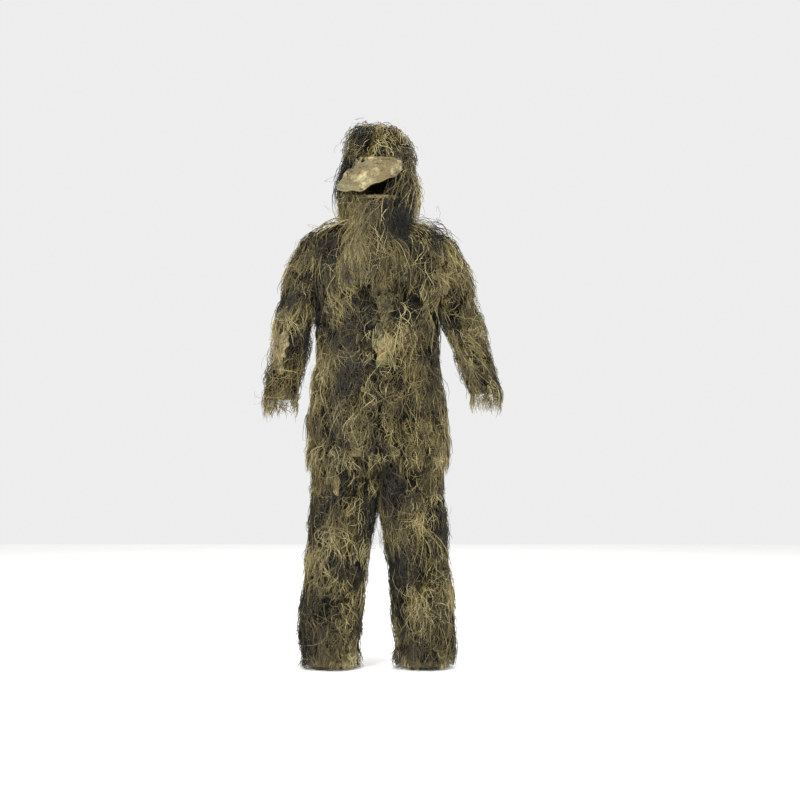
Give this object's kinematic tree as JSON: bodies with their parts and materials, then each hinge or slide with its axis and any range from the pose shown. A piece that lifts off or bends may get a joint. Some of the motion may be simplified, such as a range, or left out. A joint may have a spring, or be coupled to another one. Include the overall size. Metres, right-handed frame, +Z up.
{
  "type": "ghillie suit",
  "caption": "Hooded camouflage suit of a jacket, trousers and hood with visor and face veil, covered with sewn-on yarn, shown as worn with the arms hanging.",
  "frame": {"origin": "on the ground midway between the wearer's heels, with the suit as worn standing", "axes": "+Z up, -Y to the front, +X to the wearer's left"},
  "size_m": [0.8, 0.3359, 1.796],
  "materials": {
    "yarn": "matte",
    "camo_cloth": "matte",
    "net": "matte",
    "elastic": "matte",
    "button_plastic": "satin",
    "stud_metal": "matte",
    "visor_board": "matte"
  },
  "bodies": {
    "jacket": {"cape_yarn_back": "yarn", "cape_yarn_left": "yarn", "cape_yarn_right": "yarn", "jacket_back": "camo_cloth", "jacket_back_yarn": "yarn", "jacket_collar": "camo_cloth", "jacket_front_left": "camo_cloth", "jacket_front_right": "camo_cloth", "jacket_front_yarn_left": "yarn", "jacket_front_yarn_right": "yarn", "placket_buttons": "button_plastic", "placket_strip": "camo_cloth", "trouser_seat": "camo_cloth", "veil_tail_yarn": "yarn", "waist_elastic": "elastic"},
    "hood": {"face_net": "net", "hood_crown": "camo_cloth", "hood_elastic": "elastic", "hood_yarn": "yarn", "veil_studs": "stud_metal", "veil_yarn": "yarn", "visor_board": "visor_board", "visor_cover": "camo_cloth"},
    "front_flap_left": {"hem_flap_left": "camo_cloth", "hem_flap_yarn_left": "yarn"},
    "front_flap_right": {"hem_flap_right": "camo_cloth", "hem_flap_yarn_right": "yarn"},
    "upper_sleeve_left": {"upper_sleeve_left": "camo_cloth", "upper_sleeve_yarn_left": "yarn"},
    "lower_sleeve_left": {"cuff_elastic_left": "elastic", "lower_sleeve_left": "camo_cloth", "lower_sleeve_yarn_left": "yarn"},
    "thigh_left": {"thigh_left": "camo_cloth", "thigh_yarn_left": "yarn"},
    "shin_left": {"ankle_elastic_left": "elastic", "shin_left": "camo_cloth", "shin_yarn_left": "yarn"},
    "upper_sleeve_right": {"upper_sleeve_right": "camo_cloth", "upper_sleeve_yarn_right": "yarn"},
    "lower_sleeve_right": {"cuff_elastic_right": "elastic", "lower_sleeve_right": "camo_cloth", "lower_sleeve_yarn_right": "yarn"},
    "thigh_right": {"thigh_right": "camo_cloth", "thigh_yarn_right": "yarn"},
    "shin_right": {"ankle_elastic_right": "elastic", "shin_right": "camo_cloth", "shin_yarn_right": "yarn"}
  },
  "joints": [
    {"name": "hood_turn", "type": "hinge", "parent": "jacket", "child": "hood", "pos_m": [0, 0.008, 1.5], "axis": [0, 0, 1], "range_deg": [-45, 45]},
    {"name": "shoulder_left", "type": "hinge", "parent": "jacket", "child": "upper_sleeve_left", "pos_m": [0.192, 0.005, 1.446], "axis": [0, -1, 0], "range_deg": [0, 80]},
    {"name": "elbow_left", "type": "hinge", "parent": "upper_sleeve_left", "child": "lower_sleeve_left", "pos_m": [0.281, -0.038, 1.13], "axis": [-1, 0, 0], "range_deg": [0, 80]},
    {"name": "hip_left", "type": "hinge", "parent": "jacket", "child": "thigh_left", "pos_m": [0.1, -0.06, 0.905], "axis": [-1, 0, 0], "range_deg": [0, 60]},
    {"name": "flap_left", "type": "hinge", "parent": "jacket", "child": "front_flap_left", "pos_m": [0.1, -0.06, 0.905], "axis": [-1, 0, 0], "range_deg": [0, 60]},
    {"name": "knee_left", "type": "hinge", "parent": "thigh_left", "child": "shin_left", "pos_m": [0.118, 0.058, 0.5], "axis": [1, 0, 0], "range_deg": [0, 80]},
    {"name": "shoulder_right", "type": "hinge", "parent": "jacket", "child": "upper_sleeve_right", "pos_m": [-0.192, 0.005, 1.446], "axis": [0, 1, 0], "range_deg": [0, 80]},
    {"name": "elbow_right", "type": "hinge", "parent": "upper_sleeve_right", "child": "lower_sleeve_right", "pos_m": [-0.281, -0.038, 1.13], "axis": [-1, 0, 0], "range_deg": [0, 80]},
    {"name": "hip_right", "type": "hinge", "parent": "jacket", "child": "thigh_right", "pos_m": [-0.1, -0.06, 0.905], "axis": [-1, 0, 0], "range_deg": [0, 60]},
    {"name": "flap_right", "type": "hinge", "parent": "jacket", "child": "front_flap_right", "pos_m": [-0.1, -0.06, 0.905], "axis": [-1, 0, 0], "range_deg": [0, 60]},
    {"name": "knee_right", "type": "hinge", "parent": "thigh_right", "child": "shin_right", "pos_m": [-0.118, 0.058, 0.5], "axis": [1, 0, 0], "range_deg": [0, 80]}
  ],
  "couplings": [
    {"joint": "flap_left", "follows": "hip_left", "ratio": 1},
    {"joint": "flap_right", "follows": "hip_right", "ratio": 1}
  ]
}
